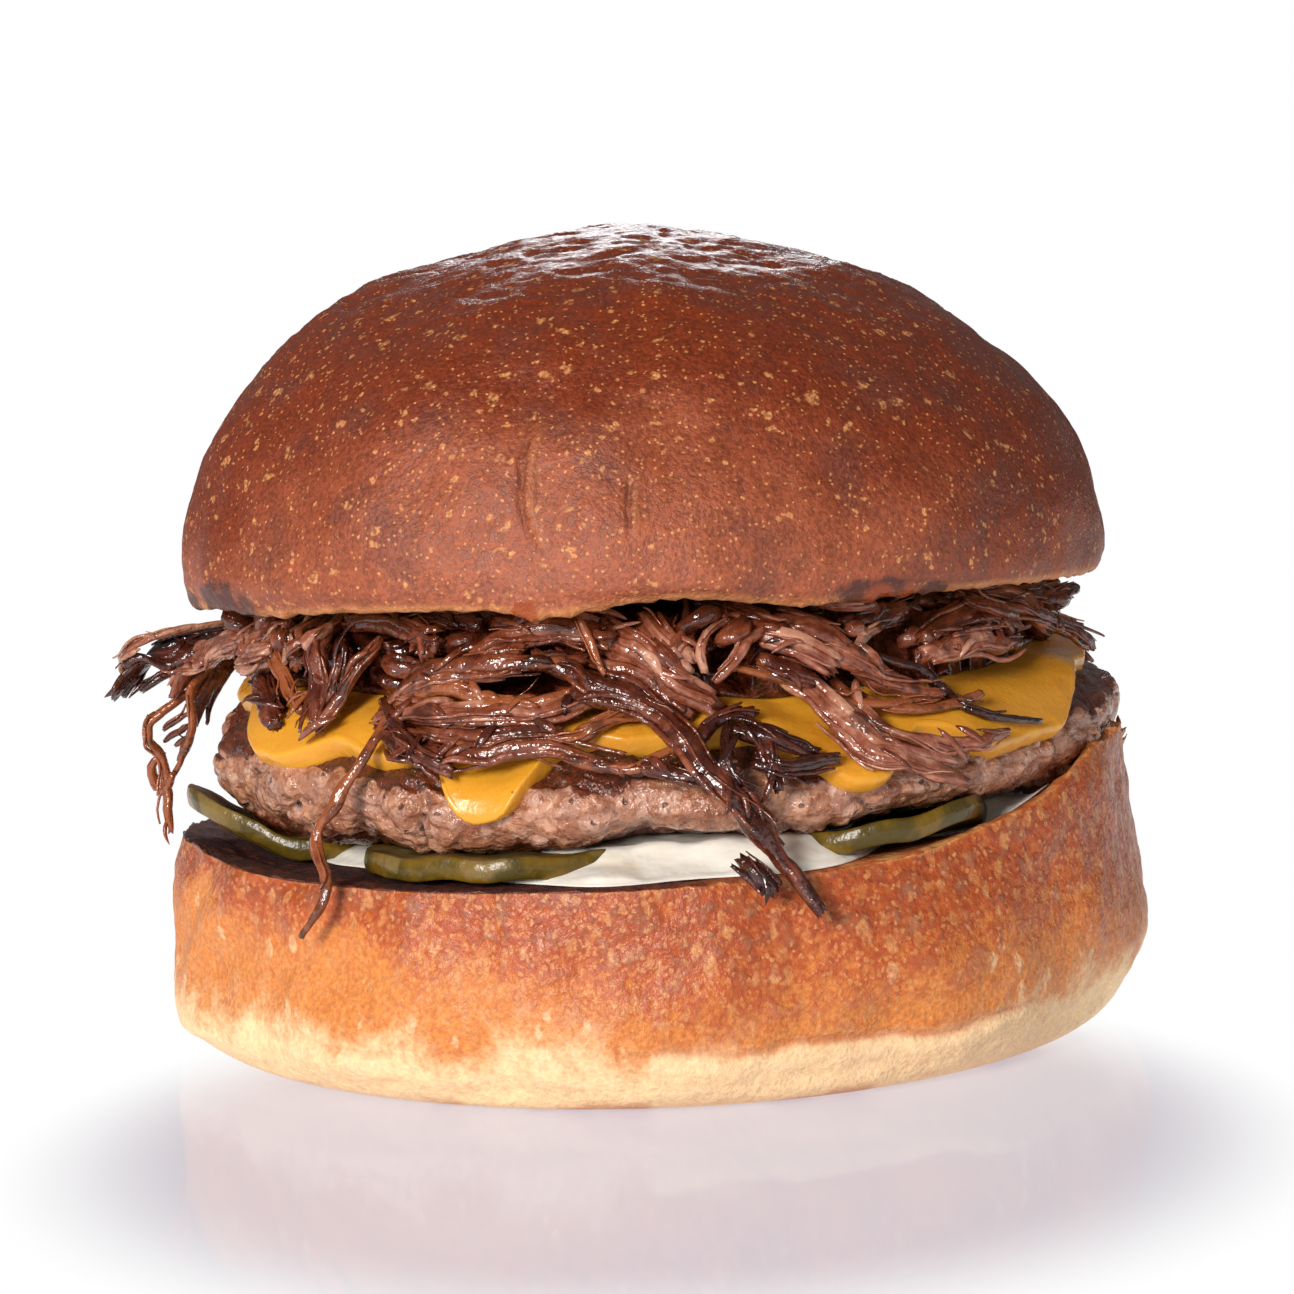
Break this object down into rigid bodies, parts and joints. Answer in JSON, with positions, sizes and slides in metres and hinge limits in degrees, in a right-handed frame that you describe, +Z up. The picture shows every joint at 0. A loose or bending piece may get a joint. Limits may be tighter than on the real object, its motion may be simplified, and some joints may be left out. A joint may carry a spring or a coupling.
{
  "type": "short rib burger",
  "caption": "Burger of a round soft bun with pickle chips, sauce, a thick beef patty, melted cheese and pulled short rib, resting on the flat underside of its heel.",
  "frame": {"origin": "centre of the heel's flat underside, on the surface that the burger stands on", "axes": "+Z up through the crown, -Y towards the front that the picture shows, +X to the right as seen from there"},
  "size_m": [0.1171, 0.1106, 0.0893],
  "materials": {
    "bread": "baked bread, golden brown at the cut edge and pale cream low down, satin",
    "crust": "dark red-brown glazed crust with fine tan flecks, semi-gloss",
    "beef": "coarse ground beef, grey-brown and moist, seared dark along the top edge",
    "cheese": "melted slice, warm yellow and glossy",
    "short_rib": "pulled braised meat, red-brown with dark crisp tips, glossy with fat",
    "pickle": "olive green chips with dark skin, wet",
    "sauce": "off-white creamy sauce, glossy"
  },
  "bodies": {
    "root": {"bun_heel": "bread", "sauce": "sauce", "pickle_left": "pickle", "pickle_front": "pickle", "pickle_right": "pickle", "pickle_back_right": "pickle", "pickle_back_left": "pickle", "beef_patty": "beef", "cheese_slice": "cheese", "short_rib": "short_rib", "bun_crown": "crust"}
  },
  "joints": []
}
